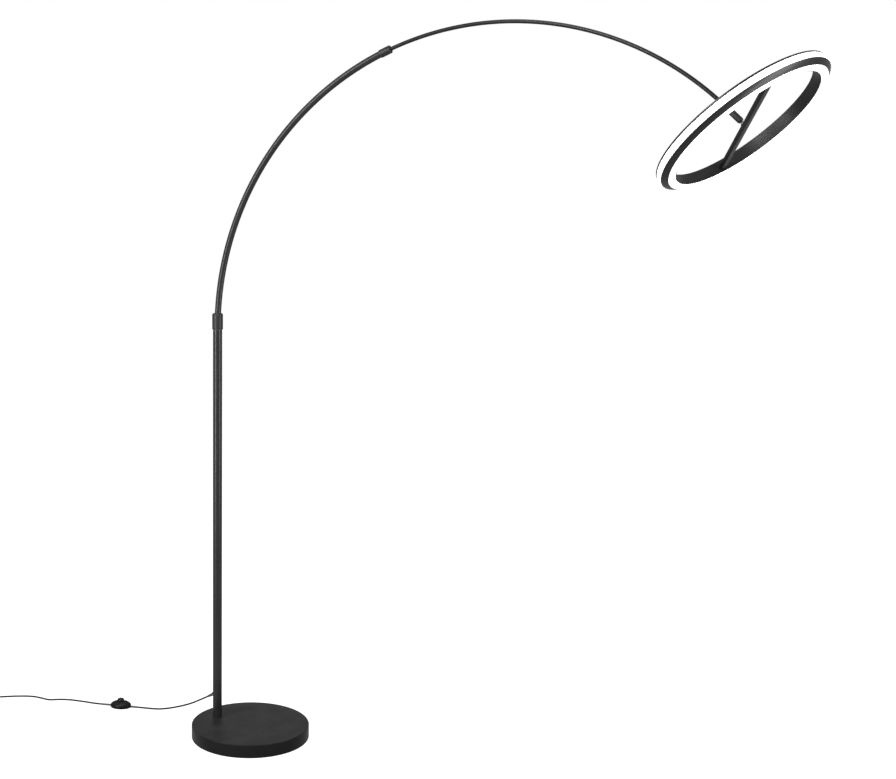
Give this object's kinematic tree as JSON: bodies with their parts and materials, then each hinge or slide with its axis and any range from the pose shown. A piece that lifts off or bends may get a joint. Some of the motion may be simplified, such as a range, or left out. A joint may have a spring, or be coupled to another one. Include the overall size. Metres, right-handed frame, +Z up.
{
  "type": "arc floor lamp",
  "caption": "Arc floor lamp: round weighted base, swivelling pole, telescopic curved arm, and a tilting ring-shaped light with a crossbar, a cord and a foot switch",
  "frame": {"origin": "on the floor under the base, 6.1 mm along +X from the centre of its underside", "axes": "+X reaches out along the arm, +Y is to the left of the arm, +Z is up"},
  "size_m": [2.2681, 0.4172, 1.8172],
  "materials": {
    "felt": "dark felt pad",
    "steel": "zinc plated steel",
    "plated": "galvanised sheet",
    "iron": "rough cast iron",
    "driver_case": "white matte plastic case",
    "black_coat": "fine matte black powder coat",
    "black_coat_pole": "fine matte black powder coat",
    "black_coat_arm": "fine matte black powder coat",
    "black_coat_rod": "fine matte black powder coat",
    "black_coat_collar": "fine matte black powder coat",
    "black_coat_bar": "fine matte black powder coat on aluminium",
    "black_coat_ring": "fine matte black powder coat on aluminium",
    "black_rubber": "soft black rubber",
    "bush_plastic": "natural acetal",
    "wire_sheath": "pale wire sheath",
    "switch_plastic": "satin black moulded plastic",
    "button_plastic": "glossy black moulded plastic",
    "plug_plastic": "matte black moulded plastic",
    "cord_sheath": "smooth black PVC",
    "spring_steel": "bright spring steel",
    "brass": "bright brass",
    "blackened_steel": "blackened polished steel",
    "aluminium": "plain aluminium",
    "opal": "opal diffuser, lit from behind",
    "led_board": "white circuit board with light emitting diodes"
  },
  "bodies": {
    "base": {"floor_pad": "felt", "plate_screws": "steel", "base_plate": "plated", "base_weight": "iron", "led_driver": "driver_case", "base_cover": "black_coat", "pole_foot_plug": "steel", "clamp_washer": "steel", "clamp_nut": "steel", "pole_tube": "black_coat_pole", "cord_gland": "black_rubber", "swivel_bush": "bush_plastic", "pole_wire": "wire_sheath", "switch_screws": "steel", "switch_reliefs": "black_rubber", "switch_lower_shell": "switch_plastic", "switch_upper_shell": "switch_plastic", "switch_spring": "spring_steel", "switch_contacts": "brass", "plug_pins": "brass", "plug_body": "plug_plastic", "cord_lamp_side": "cord_sheath", "cord_plug_side": "cord_sheath", "cord_coil": "cord_sheath", "cord_plug_lead": "cord_sheath"},
    "arm": {"arm_tube": "black_coat_arm", "swivel_collar": "black_coat_collar", "spigot_clip": "spring_steel", "arm_collar": "black_coat_collar", "guide_bush": "bush_plastic", "arm_wire": "wire_sheath"},
    "rod": {"arm_rod": "black_coat_rod", "rod_stop": "bush_plastic", "rod_wire": "wire_sheath", "rod_tip_clip": "spring_steel"},
    "socket": {"head_socket": "black_coat_collar", "ball_seat": "bush_plastic", "friction_spring": "spring_steel", "joint_wire": "wire_sheath"},
    "head": {"ball_stud": "blackened_steel", "bar_boss": "black_coat_collar", "bar_nut": "steel", "crossbar": "black_coat_bar", "bar_end_plugs": "aluminium", "bar_screws": "steel", "head_wire": "wire_sheath", "ring_body": "black_coat_ring", "front_diffuser": "opal", "outer_diffuser": "opal", "front_led_strip": "led_board", "outer_led_strip": "led_board"},
    "button": {"switch_button": "button_plastic"}
  },
  "joints": [
    {"name": "arm_swing", "type": "hinge", "parent": "base", "child": "arm", "pos_m": [-0.106, 0, 1.04], "axis": [0, 0, 1], "range_deg": [-90, 90]},
    {"name": "arm_reach", "type": "hinge", "parent": "arm", "child": "rod", "pos_m": [0.633, 0, 1.0735], "axis": [0, -1, 0], "range_deg": [0, 25]},
    {"name": "head_turn", "type": "hinge", "parent": "rod", "child": "socket", "pos_m": [1.17995, 0, 1.57253], "axis": [0.7181, 0, -0.6959], "range_deg": [-170, 170]},
    {"name": "head_tilt", "type": "hinge", "parent": "socket", "child": "head", "pos_m": [1.17995, 0, 1.57253], "axis": [-0.5418, 0.6276, -0.5591], "range_deg": [-41, 18.8]},
    {"name": "foot_button", "type": "slide", "parent": "base", "child": "button", "axis": [0, 0, -1], "range_m": [0, 0.0025], "stiffness_N_per_m": 1500, "deforming": ["switch_spring"]}
  ]
}
